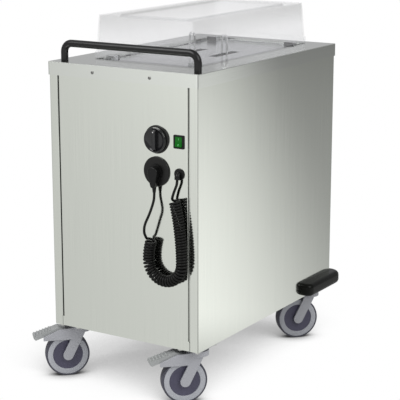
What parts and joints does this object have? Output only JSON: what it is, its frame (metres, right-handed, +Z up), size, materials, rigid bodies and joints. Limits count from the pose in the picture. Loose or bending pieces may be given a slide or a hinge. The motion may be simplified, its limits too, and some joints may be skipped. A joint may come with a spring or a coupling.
{
  "type": "plate dispenser cart",
  "caption": "Heated plate dispenser cart: steel cabinet with a sprung plate platform, clear lift-off hood, push handle, curly mains lead and swivel casters.",
  "frame": {"origin": "on the floor, under the middle of the cabinet", "axes": "+X to the right seen from the control panel, +Y from the control panel to the rear, +Z up"},
  "size_m": [0.5728, 0.8358, 1.0203],
  "materials": {
    "satin_steel": "satin",
    "polished_steel": "polished",
    "inner_steel": "satin",
    "galvanised": "satin",
    "screw_steel": "polished",
    "heater_steel": "dull",
    "spring_steel": "bright",
    "wire_steel": "polished",
    "pad_rubber": "matte",
    "black_tube": "semi-gloss",
    "black_plastic": "matte",
    "dial_ring": "matte",
    "socket_plastic": "matte",
    "gland_plastic": "matte",
    "cord_rubber": "matte",
    "bumper_rubber": "matte",
    "zinc_plate": "zinc",
    "white_plastic": "matte",
    "clear_plastic": "clear",
    "switch_green": "glossy",
    "pedal_plastic": "matte",
    "fork_metal": "zinc",
    "wheel_plastic": "matte",
    "grey_tyre": "matte"
  },
  "bodies": {
    "cabinet": {"base_pan": "galvanised", "side_panel_left": "satin_steel", "side_panel_right": "satin_steel", "front_panel": "satin_steel", "rear_panel": "satin_steel", "top_cap": "polished_steel", "cap_screws": "screw_steel", "well_wall_front": "inner_steel", "well_wall_rear": "inner_steel", "well_wall_left": "inner_steel", "well_wall_right": "inner_steel", "well_floor": "inner_steel", "heating_element": "heater_steel", "slide_rods": "inner_steel", "spring_hangers": "galvanised", "lift_springs": "spring_steel", "guide_tracks": "inner_steel", "corner_stops": "inner_steel", "stop_pads": "pad_rubber", "push_handle": "black_tube", "handle_bolts": "screw_steel", "thermostat": "black_plastic", "dial_bezel": "dial_ring", "switch_body": "black_plastic", "parking_socket": "socket_plastic", "power_plug": "black_plastic", "cable_gland": "gland_plastic", "cord_lead_gland": "cord_rubber", "cord_coil": "cord_rubber", "cord_lead_plug": "cord_rubber", "bumper_left": "bumper_rubber", "bumper_right": "bumper_rubber", "caster_plates": "zinc_plate", "caster_bolts": "screw_steel"},
    "platform": {"platform_plate": "inner_steel", "platform_carriage": "inner_steel", "glide_bushes": "white_plastic"},
    "guide_left": {"guide_left": "wire_steel"},
    "guide_right": {"guide_right": "wire_steel"},
    "hood": {"hood": "clear_plastic"},
    "dial": {"dial_knob": "black_plastic"},
    "rocker": {"switch_rocker": "switch_green"},
    "pedal_left": {"brake_pedal_left": "pedal_plastic"},
    "pedal_right": {"brake_pedal_right": "pedal_plastic"},
    "swivel_fl": {"caster_fl_fork": "fork_metal", "caster_fl_axle": "screw_steel"},
    "wheel_fl": {"caster_fl_wheel": "wheel_plastic", "caster_fl_tyre": "grey_tyre"},
    "swivel_fr": {"caster_fr_fork": "fork_metal", "caster_fr_axle": "screw_steel"},
    "wheel_fr": {"caster_fr_wheel": "wheel_plastic", "caster_fr_tyre": "grey_tyre"},
    "swivel_rl": {"caster_rl_fork": "fork_metal", "caster_rl_axle": "screw_steel"},
    "wheel_rl": {"caster_rl_wheel": "wheel_plastic", "caster_rl_tyre": "grey_tyre"},
    "swivel_rr": {"caster_rr_fork": "fork_metal", "caster_rr_axle": "screw_steel"},
    "wheel_rr": {"caster_rr_wheel": "wheel_plastic", "caster_rr_tyre": "grey_tyre"}
  },
  "joints": [
    {"name": "platform_travel", "type": "slide", "parent": "cabinet", "child": "platform", "axis": [0, 0, -1], "range_m": [0, 0.44], "stiffness_N_per_m": 800, "springref_m": -0.15, "deforming": ["lift_springs"]},
    {"name": "guide_left_slide", "type": "slide", "parent": "cabinet", "child": "guide_left", "axis": [0, 1, 0], "range_m": [-0.06, 0.06]},
    {"name": "guide_right_slide", "type": "slide", "parent": "cabinet", "child": "guide_right", "axis": [0, 1, 0], "range_m": [-0.06, 0.06]},
    {"name": "hood_lift", "type": "slide", "parent": "cabinet", "child": "hood", "axis": [0, 0, 1], "range_m": [0, 0.3]},
    {"name": "dial_turn", "type": "hinge", "parent": "cabinet", "child": "dial", "pos_m": [0.111, -0.379, 0.721], "axis": [0, 1, 0], "range_deg": [0, 300]},
    {"name": "switch_rock", "type": "hinge", "parent": "cabinet", "child": "rocker", "pos_m": [0.18, -0.377, 0.721], "axis": [1, 0, 0], "range_deg": [0, 12]},
    {"name": "caster_fl_swivel", "type": "hinge", "parent": "cabinet", "child": "swivel_fl", "pos_m": [-0.1975, -0.319, 0.15], "axis": [0, 0, 1], "continuous": true},
    {"name": "caster_fl_roll", "type": "hinge", "parent": "swivel_fl", "child": "wheel_fl", "pos_m": [-0.22437, -0.34587, 0.0625], "axis": [0.7071, -0.7071, 0], "continuous": true},
    {"name": "caster_fr_swivel", "type": "hinge", "parent": "cabinet", "child": "swivel_fr", "pos_m": [0.1975, -0.319, 0.15], "axis": [0, 0, 1], "continuous": true},
    {"name": "caster_fr_roll", "type": "hinge", "parent": "swivel_fr", "child": "wheel_fr", "pos_m": [0.17063, -0.34587, 0.0625], "axis": [0.7071, -0.7071, 0], "continuous": true},
    {"name": "caster_rl_swivel", "type": "hinge", "parent": "cabinet", "child": "swivel_rl", "pos_m": [-0.1975, 0.319, 0.15], "axis": [0, 0, 1], "continuous": true},
    {"name": "caster_rl_roll", "type": "hinge", "parent": "swivel_rl", "child": "wheel_rl", "pos_m": [-0.22437, 0.29213, 0.0625], "axis": [0.7071, -0.7071, 0], "continuous": true},
    {"name": "caster_rr_swivel", "type": "hinge", "parent": "cabinet", "child": "swivel_rr", "pos_m": [0.1975, 0.319, 0.15], "axis": [0, 0, 1], "continuous": true},
    {"name": "caster_rr_roll", "type": "hinge", "parent": "swivel_rr", "child": "wheel_rr", "pos_m": [0.17063, 0.29213, 0.0625], "axis": [0.7071, -0.7071, 0], "continuous": true},
    {"name": "brake_left", "type": "hinge", "parent": "swivel_fl", "child": "pedal_left", "pos_m": [-0.23003, -0.35153, 0.1335], "axis": [0.7071, -0.7071, 0], "range_deg": [0, 12]},
    {"name": "brake_right", "type": "hinge", "parent": "swivel_fr", "child": "pedal_right", "pos_m": [0.16497, -0.35153, 0.1335], "axis": [0.7071, -0.7071, 0], "range_deg": [0, 12]}
  ]
}
